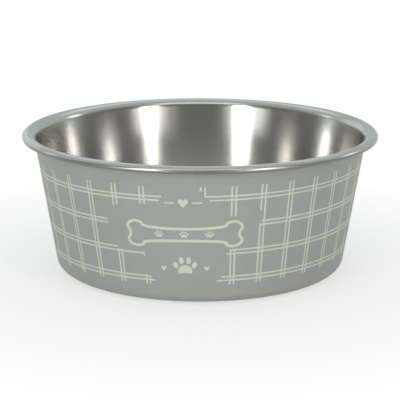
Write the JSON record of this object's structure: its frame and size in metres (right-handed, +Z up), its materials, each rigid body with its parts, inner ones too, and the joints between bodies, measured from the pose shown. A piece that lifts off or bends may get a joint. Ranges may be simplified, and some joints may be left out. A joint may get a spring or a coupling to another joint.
{
  "type": "dog bowl",
  "caption": "Round stainless-steel dog bowl with tapering sides, a crowned flange with a rolled rim, a matt coated outside and a bonded non-slip rubber base.",
  "frame": {"origin": "on the bowl's axis, on the surface that the bowl stands on", "axes": "+Z up along the bowl's axis, out of its mouth; -Y faces the picture's camera"},
  "size_m": [0.2, 0.2, 0.0785],
  "materials": {
    "steel": "satin, brushed round the bowl",
    "coating": "matt, with a fine grain and a printed check",
    "adhesive": "cured film",
    "rubber": "moulded, matt"
  },
  "bodies": {
    "root": {"steel_bowl": "steel", "outer_coating": "coating", "base_adhesive": "adhesive", "non_slip_base": "rubber"}
  },
  "joints": []
}
